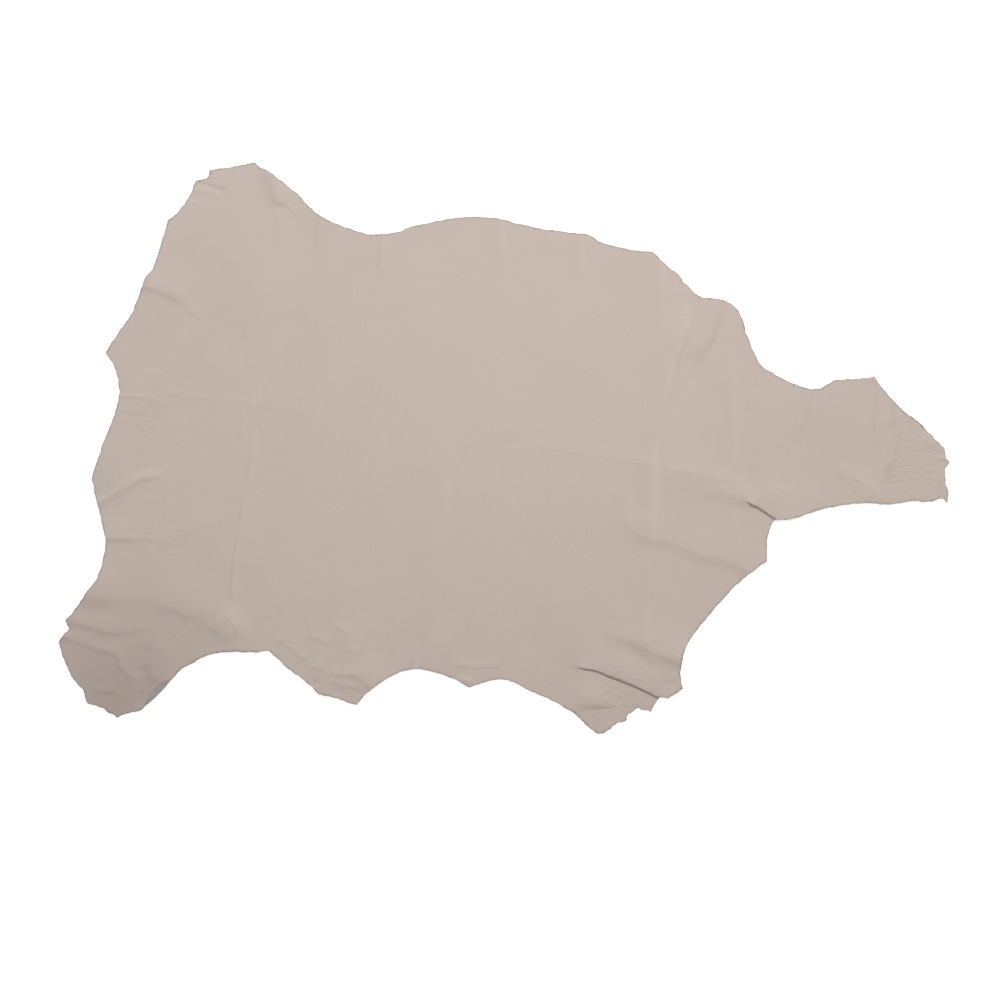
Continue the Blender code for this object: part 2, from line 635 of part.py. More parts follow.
def make_hide(collection):
    skin = OpenedSkin([OpenPleat(row) for row in PLEATS], TurnedEdge())
    _, faces = skin.triangulate()
    mesh = bpy.data.meshes.new("hide")
    mesh.from_pydata(lay_down(skin, Relief()), [], faces)
    mesh.validate()
    shape = bmesh.new()
    shape.from_mesh(mesh)
    bmesh.ops.recalc_face_normals(shape, faces=shape.faces)
    if sum(face.normal.z for face in shape.faces) < 0.0:
        bmesh.ops.reverse_faces(shape, faces=shape.faces)
    shape.to_mesh(mesh)
    shape.free()
    mesh.materials.append(skin_material())
    hide = bpy.data.objects.new("hide", mesh)
    collection.objects.link(hide)
    substance = hide.vertex_groups.new(name="substance")
    for vertex in mesh.vertices:
        substance.add([vertex.index], skin_substance(vertex.co / MM), "REPLACE")
    sheet = hide.modifiers.new("thickness", "SOLIDIFY")
    sheet.thickness = THICKNESS * MM
    sheet.offset = 1.0
    sheet.vertex_group = substance.name
    sheet.thickness_vertex_group = 1.0 - THINNING
    sheet.use_even_offset = True
    sheet.use_quality_normals = True
    return hide


def main():
    for leftover in list(bpy.data.objects):
        bpy.data.objects.remove(leftover, do_unlink=True)
    collection = bpy.data.collections.new("leather hide")
    bpy.context.scene.collection.children.link(collection)
    make_hide(collection)


main()
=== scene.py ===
"""The looks of the leather hide: a fine sheet on its solid's folds, with its creases, its cut
edge and its nappa finish, on a plain white floor in soft light from the top of the view.

Lengths in the tables are millimetres in the row's frame: X along the spine to the neck, Y
across. MM turns them into metres. Colours are linear red, green and blue.
"""

import heapq
import itertools
import math
from collections import namedtuple

import bmesh
import bpy
import numpy as np
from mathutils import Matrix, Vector, kdtree, noise


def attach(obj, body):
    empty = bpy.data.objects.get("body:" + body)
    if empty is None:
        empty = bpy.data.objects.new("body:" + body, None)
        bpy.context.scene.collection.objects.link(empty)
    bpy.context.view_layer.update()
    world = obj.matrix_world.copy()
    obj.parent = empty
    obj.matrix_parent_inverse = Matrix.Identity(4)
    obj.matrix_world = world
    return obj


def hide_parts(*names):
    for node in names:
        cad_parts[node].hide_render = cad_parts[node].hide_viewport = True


MM = 0.001

# ---------------------------------------------------------------- sizes
THICKNESS = 1.05            # of the sheet, grain side to flesh side

# The solid's upper skin.
SAME_SIDE = 0.6             # cosine of the sharpest turn between two faces of one side
SAME_PLACE = 0.01           # vertices closer than this are one
SHORTEST_EDGE = 0.25        # shorter mesh edges are merged
HOLE_SIDES = 6              # of the largest hole that is closed

# How fine the mesh is.
OPEN_EDGE = 11.5            # longest mesh edge where the skin is plain
WIDE_CREASE_EDGE = 6.0      # on a wide crease
THIN_CREASE_EDGE = 2.2      # on a thin one
CREASE_EDGE_SHARE = 0.45    # of a crease's narrower half-width, between the two
BORDER_EDGE = 2.9           # along the cut edge
EDGE_GROWTH = 1.05          # how fast the mesh opens out beside a crease
SHORTER_SHARE = 0.99        # of a split edge's length, below which its parts are split in turn
LINE_STEP = 3.0             # from point to point along a smooth line

# The upward part of the normal: from LEVEL up the sheet is level, from BENT down it is in a
# pleat's bend, and from CREASELESS down no crease is laid on it.
LEVEL = 0.9
BENT = 0.8
CREASELESS = 0.75

# Smoothing, and its rounds.
RELAX_SHARE = 0.6           # of the way to its neighbours' middle that a vertex moves in a round
FACET_ROUNDS = 10           # on the solid's flat facets
SPLIT_ROUNDS = 3            # on the fine mesh
FLIP_ROUNDS = 2             # on it once its edges are turned
TIP_ROUNDS = 14             # at the pleats' tips
BEND_RINGS = 4              # rings of vertices that a pleat's bend holds back

# How the folds settle in the skin's own weight.
SETTLED_SHARE = 0.52        # of a fold's height that is pressed out
PRESSED_SHARE = 0.45        # the same for a pleat's layers
PRESSED_REACH = 55.0        # from a pleat to where the first share holds

# The cut edge.
OUTLINE_ROUNDS = 4          # of rounding its facets
OUTLINE_CORNER = 0.86       # cosine of the turn from which a corner stays
RAGGED_HEIGHT = 1.0         # how far the knife wandered, and how much more at loose places
RAGGED_MORE = 1.3
RAGGED_LENGTH = 9.0
FINE_HEIGHT = 0.6           # of the finer waverings on those, as a share of theirs
FINE_WAVES = 2.3            # and how many go into one of them
NO_LENGTH = 1e-7            # metres: a step along the edge that has no direction
CORNER_ANGLE = 50.0         # degrees, from which a bend is shaded as a corner

# How uneven the creases are.
CREST_RADIUS = 1.5          # rounding of a sharp ridge
HEIGHT_UNEVENNESS = 0.45    # share by which a crease's height wanders along it
WIDTH_UNEVENNESS = 0.30
UNEVEN_LENGTH = 22.0        # of these waverings, or so many widths of a wide crease
UNEVEN_WIDTHS = 3.0

# How dark the painted shade on the cut edge looks from above, and how much more at the shaded edges.
RIM_SHARE = 0.80
SHADED_RIM_SHARE = 0.20

# The photograph's frame on the floor.
VIEW_WIDTH = 1334.7
VIEW_MIDDLE = (-5.0, -69.9)
CAMERA_HEIGHT = 4.2         # metres

# ---------------------------------------------------------------- creases
# Soft ridges (height above 0) and troughs (below 0), each along a smooth line through its
# points. Left and right are its half-widths on the two sides of the line as it runs, which is
# rightwards or downwards in the view, so that left is the side towards the light. Fades are how
# far each end takes to die out, and 0 where it runs off the cut edge. A sharp one has its crest
# at the line, and falls off steeply on the right at once.
Crease = namedtuple("Crease", "name height left right fade_in fade_out line sharp", defaults=(False,))
CREASES = (
    # rump and the upper hind leg
    Crease("foot tuck", -0.7, 4, 9, 0, 18, ((-407, 352), (-392, 349), (-380, 345), (-364, 340))),
    Crease("foot ridge", -0.45, 14, 8, 4, 40, ((-420, 335), (-408, 332), (-380, 331), (-335, 332))),
    Crease("groin facet", 1.6, 28, 17, 0, 14,
           ((-316, 368), (-309, 350), (-303, 332), (-300, 320)), sharp=True),
    Crease("groin hook", 0.35, 9, 5, 4, 5, ((-304, 327), (-292, 325), (-283, 318), (-276, 309))),
    Crease("groin hollow", 0.45, 20, 8, 8, 40, ((-301, 320), (-301, 285), (-301, 250))),
    Crease("rump ripple", 1.1, 55, 10, 0, 24,
           ((-482, 217), (-462, 211), (-447, 205), (-432, 199), (-418, 190)), sharp=True),
    Crease("rump ripple, end", 0.35, 14, 8, 12, 12, ((-430, 186), (-412, 180), (-398, 168))),
    # the spine over the rump, and the tail's loose wrinkles
    Crease("rump spine", 0.20, 3, 7, 0, 16, ((-511, 71), (-483, 69), (-452, 64)), sharp=True),
    Crease("rump spine, above", -0.16, 18, 3, 0, 24, ((-511, 75), (-483, 74), (-448, 70))),
    Crease("loin spine", 0.15, 10, 3.5, 8, 60,
           ((-455, 72), (-428, 67), (-381, 64), (-341, 59), (-300, 53), (-250, 48))),
    Crease("tail arc", -0.14, 2.6, 6, 6, 10,
           ((-487, 104), (-477, 110), (-461, 108), (-448, 100), (-437, 95))),
    Crease("tail line a", -0.16, 2.6, 5, 8, 14, ((-515, 46), (-485, 43), (-450, 37))),
    Crease("tail line b", -0.14, 2.6, 5, 8, 14, ((-527, 34), (-505, 30), (-486, 29))),
    Crease("tail line c", -0.14, 2.6, 5, 8, 14, ((-500, 22), (-470, 24), (-446, 20))),
    # the loin's pinch and its long crease
    Crease("pinch a", -0.32, 2.8, 3, 4, 8, ((-332, 51), (-346, 39), (-353, 22))),
    Crease("pinch b", -0.20, 2.4, 3, 3, 6, ((-338, 49), (-345, 40))),
    Crease("pinch c", -0.42, 2.8, 5, 4, 6, ((-356, 20), (-360, 6))),
    Crease("pinch d", -0.36, 2.8, 4, 4, 8, ((-326, 30), (-327, 2))),
    Crease("pinch e", 0.42, 4, 3, 5, 8, ((-347, 44), (-349, 26), (-347, 6))),
    Crease("pinch f", -0.30, 3, 6, 6, 8, ((-331, 88), (-331, 55))),
    Crease("loin crease", 0.6, 10, 4.5, 10, 16,
           ((-334, 2), (-338, -20), (-341, -45), (-346, -67), (-350, -90), (-355, -120),
            (-362, -168), (-365, -205))),
    # the tail's wave and the leg's ripple
    Crease("tail wave, hollow", -0.35, 14, 7, 0, 24,
           ((-540, -66), (-514, -51), (-492, -38), (-468, -30), (-446, -28))),
    Crease("tail wave, crest", 1.3, 13, 8, 0, 44,
           ((-540, -73), (-514, -58), (-500, -49), (-484, -41), (-462, -35), (-440, -32)), sharp=True),
    Crease("leg ripple, line", -0.14, 5, 3, 0, 16, ((-532, -114), (-508, -115), (-480, -117))),
    Crease("leg ripple", 1.2, 36, 8, 0, 24, ((-531, -120), (-512, -120), (-486, -121)), sharp=True),
    Crease("leg ripple, end", 0.25, 8, 4, 10, 14, ((-505, -120), (-480, -121), (-448, -124))),
    Crease("leg ripple, far", -0.15, 5, 8, 14, 20, ((-470, -133), (-440, -134), (-405, -134))),
    # the lower hind leg
    Crease("leg fold, start", 1.1, 60, 14, 0, 40, ((-562, -199), (-535, -200), (-505, -205)), sharp=True),
    Crease("leg fold, below", -0.4, 14, 20, 0, 20, ((-560, -217), (-530, -217), (-500, -222))),
    Crease("leg fold, middle", 0.8, 54, 12, 20, 10,
           ((-476, -207), (-443, -214), (-421, -223), (-393, -232)), sharp=True),
    Crease("leg fold, branch", 0.4, 12, 7, 14, 8, ((-430, -238), (-405, -238), (-386, -237)), sharp=True),
    Crease("leg fold, corner", 1.4, 46, 20, 14, 14, ((-396, -232), (-382, -241), (-363, -260)), sharp=True),
    Crease("leg pinch", 0.4, 16, 4.5, 24, 8,
           ((-370, -209), (-365, -228), (-357, -240), (-353, -258)), sharp=True),
    Crease("foot curve", 0.8, 24, 7, 0, 24,
           ((-579, -231), (-554, -237), (-532, -244), (-510, -245), (-470, -238)), sharp=True),
    Crease("foot line, edge", 0.8, 8, 9, 0, 12, ((-592, -249), (-576, -252))),
    Crease("foot line", 0.7, 14, 7, 0, 20,
           ((-588, -250), (-566, -259), (-543, -268), (-526, -271), (-516, -277), (-511, -289),
            (-493, -316)), sharp=True),
    Crease("shank ridge", 1.5, 24, 13, 20, 14,
           ((-452, -250), (-464, -270), (-470, -286), (-470, -300), (-466, -318)), sharp=True),
    Crease("shank hollow", -0.7, 10, 16, 12, 8, ((-470, -262), (-483, -285), (-483, -305))),
    Crease("shank arc", -0.4, 3, 3, 8, 8, ((-424, -238), (-441, -254), (-452, -272))),
    Crease("foot dimple a", 0.6, 10, 8, 8, 8, ((-552, -321), (-535, -323), (-517, -322))),
    Crease("foot dimple b", -0.35, 5, 9, 8, 8, ((-540, -328), (-513, -331))),
    Crease("foot dimple c", -0.4, 3, 3, 4, 4, ((-490, -322), (-482, -330), (-486, -339))),
    # belly
    Crease("belly wrinkle a", 0.40, 14, 4, 12, 8,
           ((-313, -250), (-290, -262), (-277, -273), (-263, -286))),
    Crease("belly wrinkle b", 0.16, 9, 4, 10, 10, ((-332, -223), (-303, -223))),
    Crease("belly wrinkle c", 0.36, 11, 4, 8, 8, ((-265, -249), (-246, -255), (-230, -262))),
    Crease("belly wrinkle d", 0.36, 11, 4, 8, 6, ((-232, -236), (-214, -242), (-205, -254))),
    Crease("belly wrinkle e", 0.36, 12, 5, 6, 6, ((-216, -270), (-192, -271))),
    Crease("belly wrinkle f", 0.38, 10, 4, 6, 6, ((-259, -290), (-240, -295))),
    Crease("belly wrinkle g", 0.70, 14, 6, 6, 8, ((-232, -300), (-212, -302), (-195, -301))),
    Crease("belly wrinkle h", 0.50, 10, 4, 8, 5, ((-239, -311), (-214, -316), (-197, -319), (-186, -324))),
    Crease("belly wrinkle i", -0.35, 5, 8, 5, 5, ((-230, -322), (-213, -327))),
    Crease("belly point", 1.3, 50, 12, 16, 0, ((-208, -294), (-192, -306), (-178, -317)), sharp=True),
    Crease("belly edge", -0.5, 8, 8, 4, 4, ((-258, -312), (-245, -314))),
    Crease("bay nick", 0.8, 6, 6, 8, 0, ((-119, -274), (-120, -296))),
    Crease("belly line", 0.36, 12, 4, 14, 14, ((-72, -287), (-43, -292), (-21, -291), (0, -294))),
    Crease("belly corner", 0.6, 6, 6, 3, 0, ((-62, -307), (-46, -311))),
    # flap and elbow
    Crease("elbow pleat, start", 0.20, 8, 3, 18, 10, ((66, -289), (91, -290), (110, -292))),
    Crease("flap rise", 1.3, 46, 12, 30, 30, ((84, -345), (108, -341), (125, -340), (152, -334))),
    Crease("flap line", 0.30, 6, 4, 4, 10, ((118, -345), (135, -345), (152, -341))),
    Crease("elbow fold", 1.4, 66, 18, 50, 0,
           ((120, -244), (150, -252), (168, -256), (182, -263), (195, -270), (212, -276),
            (232, -283), (239, -286)), sharp=True),
    Crease("elbow fold, end", 0.7, 34, 14, 20, 0, ((200, -272), (222, -280), (239, -286)), sharp=True),
    Crease("elbow hollow", -0.4, 12, 10, 14, 8, ((160, -272), (180, -282), (192, -290), (212, -300))),
    Crease("elbow corner", -0.5, 8, 14, 6, 4, ((212, -316), (233, -312))),
    # chest and throat
    Crease("chest fold", 1.1, 62, 14, 45, 0,
           ((145, -88), (170, -107), (200, -121), (220, -125), (240, -133), (265, -143),
            (305, -152), (328, -166)), sharp=True),
    Crease("chest fold, end", 0.5, 12, 10, 6, 0, ((308, -158), (320, -164), (328, -172)), sharp=True),
    Crease("withers", 1.0, 40, 20, 90, 40,
           ((212, -48), (235, -50), (262, -57), (290, -62), (310, -66), (322, -70), (348, -88)),
           sharp=True),
    Crease("shoulder light", 0.8, 7, 18, 20, 20, ((311, -84), (309, -142))),
    Crease("spine, rear", 0.12, 9, 3, 6, 6, ((-8, -4), (18, -3), (43, -3))),
    Crease("spine", 0.20, 16, 3.5, 30, 40,
           ((40, 10), (50, 3), (58, -1), (100, -7), (148, -15), (200, -24), (235, -31), (292, -42),
            (330, -48))),
    Crease("throat line", 0.20, 16, 3.5, 20, 20, ((352, -51), (380, -59), (400, -65), (422, -70))),
    Crease("throat fold", 0.8, 26, 12, 16, 0,
           ((436, -24), (452, -37), (462, -43), (474, -52), (485, -64)), sharp=True),
    Crease("throat fold, fore", 0.35, 14, 3.5, 10, 0, ((462, -35), (480, -48), (492, -58), (502, -68))),
    Crease("throat cross line", -0.25, 3, 4, 5, 8, ((498, -50), (515, -48), (532, -44))),
    # neck
    Crease("nape crease", 1.2, 8, 28, 0, 30, ((409, 84), (407, 72), (402, 50), (396, 27), (390, 5))),
    Crease("neck crease, rear", 0.9, 3.5, 4, 0, 20, ((499, 86), (496, 60), (494, 45), (493, 14))),
    Crease("neck crease, fore", 1.7, 10, 9, 0, 24,
           ((524, 60), (523, 40), (524, 25), (521, 12), (518, -2), (514, -18), (508, -42))),
    Crease("neck corner", 0.5, 5, 10, 6, 0, ((474, 91), (497, 93))),
    Crease("neck end, fold", 0.7, 8, 14, 8, 0, ((556, 17), (572, 8), (586, -2))),
    Crease("neck end, line", 0.6, 8, 3, 8, 8, ((581, -22), (580, -54))),
    Crease("neck end, nick", 0.5, 4, 7, 4, 0, ((574, -12), (590, -14))),
    Crease("nape line", 1.0, 7, 24, 50, 60, ((306, 140), (306, 60), (307, 30), (308, -50))),
    Crease("nape line, fore", 0.5, 6, 10, 20, 20, ((325, 118), (326, 50))),
    # foreleg and flank
    Crease("foreleg fold", 1.6, 8, 22, 0, 40,
           ((291, 200), (284, 176), (277, 156), (268, 136), (256, 106))),
    Crease("foreleg ridge", 0.7, 6, 12, 36, 24, ((311, 176), (304, 152), (297, 130), (288, 104))),
    Crease("foreleg line", -0.30, 3, 4, 8, 8, ((252, 110), (248, 82))),
    Crease("shoulder nick", -0.35, 3, 3, 2, 0, ((231, 211), (238, 213), (245, 217))),
    Crease("shoulder streak", 0.9, 8, 22, 0, 44, ((211, 246), (211, 160))),
    Crease("girth line", 1.7, 10, 32, 60, 24,
           ((250, 200), (244, 167), (233, 138), (224, 108), (218, 75), (212, 50), (205, 5), (200, -20),
            (201, -55), (199, -120), (195, -160), (191, -200), (189, -275))),
    Crease("flank streak", 0.9, 8, 24, 0, 44, ((102, 284), (102, 206))),
    Crease("flank streak, rear", 0.8, 8, 24, 0, 44, ((-5, 308), (-5, 234))),
    Crease("flank fold", 1.0, 10, 8, 0, 36, ((-161, 288), (-168, 222))),
    Crease("flank hollow", 0.8, 34, 10, 0, 30, ((-245, 320), (-245, 285), (-250, 250))),
    Crease("mid streak", 1.1, 12, 36, 130, 0, ((-64, 60), (-80, -45), (-90, -156), (-101, -300))),
)

# Creases whose crests get a painted highlight, standing in for the light on their lit sides: the pale
# line's half-width, and how pale it is.
HighlightCrest = namedtuple("HighlightCrest", "crease width share")
HIGHLIGHT_CRESTS = (
    HighlightCrest("nape line", 6.0, 0.07),
    HighlightCrest("shoulder streak", 7.0, 0.06),
    HighlightCrest("girth line", 7.0, 0.12),
)

# Where the skin is folded back on itself, as lines from tip to mouth. Ease is how far from the
# tip it is too tight to be folded flat.
Pleat = namedtuple("Pleat", "name tip mouth ease")
PLEATS = (
    Pleat("throat pleat", (318, -69), (365, -97), 14.0),
    Pleat("elbow pleat", (93, -291), (207, -333), 48.0),
    Pleat("turned edge", (-487, -352), (-443, -308), 0.0),
)

# Patches where the grain is loose and finely wrinkled: centre, radius, strength from 0 to 1.
# The strength falls to 0 at a patch's rim, by this power of what is left of the radius.
LOOSE_FALL = 0.7
Loose = namedtuple("Loose", "x y radius strength")
LOOSE_PATCHES = (
    Loose(-480, 50, 95, 0.6),
    Loose(-470, -90, 90, 0.4),
    Loose(-500, -290, 110, 0.5),
    Loose(-400, 340, 80, 0.35),
    Loose(145, -345, 65, 1.0),
    Loose(215, -300, 60, 0.5),
    Loose(550, -20, 80, 0.8),
    Loose(270, 170, 70, 0.4),
    Loose(-250, -290, 80, 0.4),
    Loose(480, -50, 60, 0.4),
)

# Stretches of the cut edge that stand off the floor and get more painted shade: centre and radius.
ShadedEdge = namedtuple("ShadedEdge", "x y radius")
SHADED_EDGES = (
    ShadedEdge(-395, -275, 80),
    ShadedEdge(-505, -362, 45),
    ShadedEdge(105, -360, 40),
    ShadedEdge(232, -290, 26),
    ShadedEdge(545, 42, 40),
)


# ---------------------------------------------------------------- the mesh
def grain_side(node):
    """The upper skin of the solid: all faces reached from the top without crossing its rim."""
    skin = bmesh.new()
    skin.from_mesh(node.data)
    bmesh.ops.remove_doubles(skin, verts=skin.verts, dist=SAME_PLACE * MM)
    skin.normal_update()
    start = max(skin.faces, key=lambda face: face.normal.z * face.calc_area())
    reached = {start}
    waiting = [start]
    while waiting:
        face = waiting.pop()
        for edge in face.edges:
            for other in edge.link_faces:
                if other not in reached and face.normal.dot(other.normal) > SAME_SIDE:
                    reached.add(other)
                    waiting.append(other)
    rest = [face for face in skin.faces if face not in reached]
    bmesh.ops.delete(skin, geom=rest, context="FACES")
    border = [edge for edge in skin.edges if edge.is_boundary]
    bmesh.ops.holes_fill(skin, edges=border, sides=HOLE_SIDES)
    bmesh.ops.dissolve_degenerate(skin, edges=skin.edges, dist=SHORTEST_EDGE * MM)
    bmesh.ops.triangulate(skin, faces=skin.faces)
    return skin


def curve_points(line):
    """Points along a smooth curve through a line's points, as an array."""
    knots = [Vector(point) for point in line]
    knots = [2 * knots[0] - knots[1]] + knots + [2 * knots[-1] - knots[-2]]
    result = []
    for a, b, c, d in zip(knots, knots[1:], knots[2:], knots[3:]):
        count = max(1, round((c - b).length / LINE_STEP))
        for i in range(count):
            t = i / count
            result.append(0.5 * (2 * b + (c - a) * t + (2 * a - 5 * b + 4 * c - d) * t ** 2
                                 + (3 * b - a - 3 * c + d) * t ** 3))
    result.append(knots[-2])
    return np.array([tuple(point) for point in result])


def crease_samples():
    """Places on the creases, how far the mesh stays fine round each, and its edge length there."""
    spots = []
    for crease in CREASES:
        narrow = min(crease.left, crease.right)
        edge = min(WIDE_CREASE_EDGE, max(THIN_CREASE_EDGE, CREASE_EDGE_SHARE * narrow))
        spots += [(x, y, narrow, edge) for x, y in curve_points(crease.line)]
    return spots


def border_samples(skin):
    """The same for places along the cut edge."""
    spots = []
    for edge in skin.edges:
        if edge.is_boundary:
            a, b = (vertex.co.xy / MM for vertex in edge.verts)
            count = max(1, round((b - a).length / LINE_STEP))
            spots += [(*a.lerp(b, i / count), 0.0, BORDER_EDGE) for i in range(count)]
    return spots


def bisect(edge):
    """Splits an edge in the middle and each triangle on it in two; gives the edges made."""
    _, middle = bmesh.utils.edge_split(edge, edge.verts[0], 0.5)
    for face in list(middle.link_faces):
        ring = list(face.verts)
        opposite = ring[(ring.index(middle) + 2) % 4]
        bmesh.utils.face_split(face, middle, opposite)
    return middle.link_edges


def refine(skin, samples):
    """Splits every edge that is longer than its place allows, the longest first."""
    tree = kdtree.KDTree(len(samples))
    for i, (x, y, _, _) in enumerate(samples):
        tree.insert((x * MM, y * MM, 0.0), i)
    tree.balance()

    def too_long(edge):
        length = edge.calc_length() / MM
        if length <= THIN_CREASE_EDGE or not samples:
            return length > OPEN_EDGE
        middle = (edge.verts[0].co + edge.verts[1].co) / 2
        _, index, distance = tree.find((middle.x, middle.y, 0.0))
        _, _, reach, finest = samples[index]
        return length > min(OPEN_EDGE, finest + EDGE_GROWTH * max(0.0, distance / MM - reach))

    number = itertools.count()
    waiting = [(-edge.calc_length(), next(number), edge) for edge in skin.edges if too_long(edge)]
    heapq.heapify(waiting)
    while waiting:
        minus_length, _, edge = heapq.heappop(waiting)
        for part in bisect(edge):
            length = part.calc_length()
            if too_long(part) and length < -SHORTER_SHARE * minus_length:
                heapq.heappush(waiting, (-length, next(number), part))
    flip_slivers(skin)


def flip_slivers(skin):
    """Turns edges wherever that gives better triangles, outside the pleats' bends."""
    skin.normal_update()
    level = [face for face in skin.faces if face.normal.z > LEVEL]
    inner = [edge for edge in skin.edges if not edge.is_boundary
             and all(face.normal.z > LEVEL for face in edge.link_faces)]
    bmesh.ops.beautify_fill(skin, faces=level, edges=inner, method="AREA")


def arrays(skin):
    """Vertex places, edges as pairs of vertices, upward normals, and 0 on the cut edge or 1."""
    skin.verts.index_update()
    skin.normal_update()
    places = np.array([tuple(vertex.co) for vertex in skin.verts]) / MM
    pairs = np.array([[vertex.index for vertex in edge.verts] for edge in skin.edges])
    upward = np.array([vertex.normal.z for vertex in skin.verts])
    inside = np.array([0.0 if vertex.is_boundary else 1.0 for vertex in skin.verts])
    return places, pairs, upward, inside


def smooth(values):
    """0 up to 0 and 1 from 1 on, in a soft step."""
    t = np.clip(values, 0.0, 1.0)
    return t * t * (3.0 - 2.0 * t)


def neighbour_mean(values, pairs, count):
    """The mean of the values of each vertex's neighbours."""
    total = np.zeros(count)
    number = np.zeros(count)
    for a, b in ((0, 1), (1, 0)):
        total += np.bincount(pairs[:, a], values[pairs[:, b]], count)
        number += np.bincount(pairs[:, a], minlength=count)
    return total / np.maximum(number, 1)


def relax(skin, places, pairs, free, inside, rounds):
    """Moves each vertex towards the middle of its neighbours; the cut edge moves only in height."""
    count = len(places)
    for _ in range(rounds):
        for axis, share in ((0, inside), (1, inside), (2, 1.0)):
            values = places[:, axis].copy()
            step = neighbour_mean(values, pairs, count) - values
            places[:, axis] += RELAX_SHARE * free * share * step
    for vertex, place in zip(skin.verts, places):
        vertex.co = Vector(place) * MM


def soften(skin, rounds):
    """Rounds off the solid's flat facets and evens out its triangles, except in the pleats."""
    places, pairs, upward, inside = arrays(skin)
    free = np.clip((upward - BENT) / (LEVEL - BENT), 0.0, 1.0)
    for _ in range(BEND_RINGS):
        free = np.minimum(free, neighbour_mean(free, pairs, len(places)))
    relax(skin, places, pairs, free, inside, rounds)


def ease_tips(skin):
    """Lets each pleat die out towards its tip."""
    places, pairs, _, inside = arrays(skin)
    free = np.zeros(len(places))
    for pleat in PLEATS:
        if pleat.ease:
            away = np.linalg.norm(places[:, :2] - pleat.tip, axis=1)
            free = np.maximum(free, smooth(2.0 - 2.0 * away / pleat.ease))
    relax(skin, places, pairs, free, inside, TIP_ROUNDS)


def distance_to_line(spot, start, end):
    """How far a spot is from the straight line between two others."""
    span = end - start
    t = min(1.0, max(0.0, (spot - start).dot(span) / span.length_squared))
    return (spot - start - span * t).length


def settle(skin):
    """Flattens the folds a little, and presses the pleats' layers down towards the lowest one."""
    for vertex in skin.verts:
        spot = vertex.co.xy / MM
        away = min(distance_to_line(spot, Vector(pleat.tip), Vector(pleat.mouth)) for pleat in PLEATS)
        near = 0.5 + 0.5 * math.cos(math.pi * min(1.0, away / PRESSED_REACH))
        share = SETTLED_SHARE + (PRESSED_SHARE - SETTLED_SHARE) * near
        vertex.co.z -= max(0.0, vertex.co.z - THICKNESS * MM) * share


def wander(along, length, seed):
    """A wavering between about -1 and 1 along a line, in waves about length long."""
    return np.array([noise.noise((a / length, seed, 0.5)) for a in along])


def nearest_on_line(spots, line, reach):
    """How far each spot within reach is from a line and along it, and if it is on the right."""
    best = np.full(len(spots), reach)
    along = np.zeros(len(spots))
    on_right = np.zeros(len(spots), bool)
    walked = 0.0
    for start, end in zip(line, line[1:]):
        span = end - start
        size = np.hypot(*span)
        offset = spots - start
        t = np.clip(offset @ span / size ** 2, 0.0, 1.0)
        away = np.linalg.norm(offset - t[:, None] * span, axis=1)
        closer = away < best
        best[closer] = away[closer]
        along[closer] = walked + t[closer] * size
        on_right[closer] = (span[0] * offset[:, 1] <= span[1] * offset[:, 0])[closer]
        walked += size
    return best, along, on_right, walked


def crease_section(crease, away, width, on_right):
    """The height across a crease, from 1 on its line to 0 a half-width away."""
    section = 0.5 * (1.0 + np.cos(np.pi * np.minimum(1.0, away / width)))
    if crease.sharp:
        rounded = np.sqrt(away ** 2 + CREST_RADIUS ** 2) - CREST_RADIUS
        steep = np.maximum(0.0, 1.0 - rounded / width) ** 2
        section = np.where(on_right, steep, section)
    return section


def crease_fade(crease, along, length):
    """The height along a crease of that length: 1, and down to 0 where an end dies out."""
    fade = np.ones(len(along))
    if crease.fade_in:
        fade *= smooth(along / crease.fade_in)
    if crease.fade_out:
        fade *= smooth((length - along) / crease.fade_out)
    return fade


def crease_lift(crease, places):
    """How far one crease lifts each place."""
    line = curve_points(crease.line)
    lift = np.zeros(len(places))
    margin = max(crease.left, crease.right)
    low, high = line.min(0) - margin, line.max(0) + margin
    near = np.where(np.all((places[:, :2] >= low) & (places[:, :2] <= high), axis=1))[0]
    if not len(near):
        return lift
    away, along, on_right, length = nearest_on_line(places[near, :2], line, 2.0 * margin)
    wave = max(UNEVEN_LENGTH, UNEVEN_WIDTHS * (crease.left + crease.right))
    width_seed, height_seed = crease.line[0]
    width = np.where(on_right, float(crease.right), float(crease.left))
    width *= 1.0 + WIDTH_UNEVENNESS * wander(along, wave, width_seed)
    height = crease.height * (1.0 + HEIGHT_UNEVENNESS * wander(along, wave, height_seed))
    section = crease_section(crease, away, width, on_right)
    lift[near] = height * section * crease_fade(crease, along, length)
    return lift


def add_creases(skin):
    """Lifts the sheet along its creases, except in the pleats' bends."""
    places, _, upward, _ = arrays(skin)
    lift = sum(crease_lift(crease, places) for crease in CREASES)
    lift *= np.clip((upward - CREASELESS) / (LEVEL - CREASELESS), 0.0, 1.0)
    for vertex, rise in zip(skin.verts, lift):
        vertex.co.z += rise * MM


def border_loop(skin):
    """The vertices of the cut edge in order."""
    edges = [edge for edge in skin.edges if edge.is_boundary]
    links = {}
    for edge in edges:
        for vertex in edge.verts:
            links.setdefault(vertex, []).append(edge.other_vert(vertex))
    first = edges[0].verts[0]
    loop, before, here = [first], None, first
    for _ in edges:
        onward = [vertex for vertex in links[here] if vertex is not before]
        before, here = here, onward[0]
        if here is first:
            return loop
        loop.append(here)
    raise ValueError("the cut edge is not one closed loop")


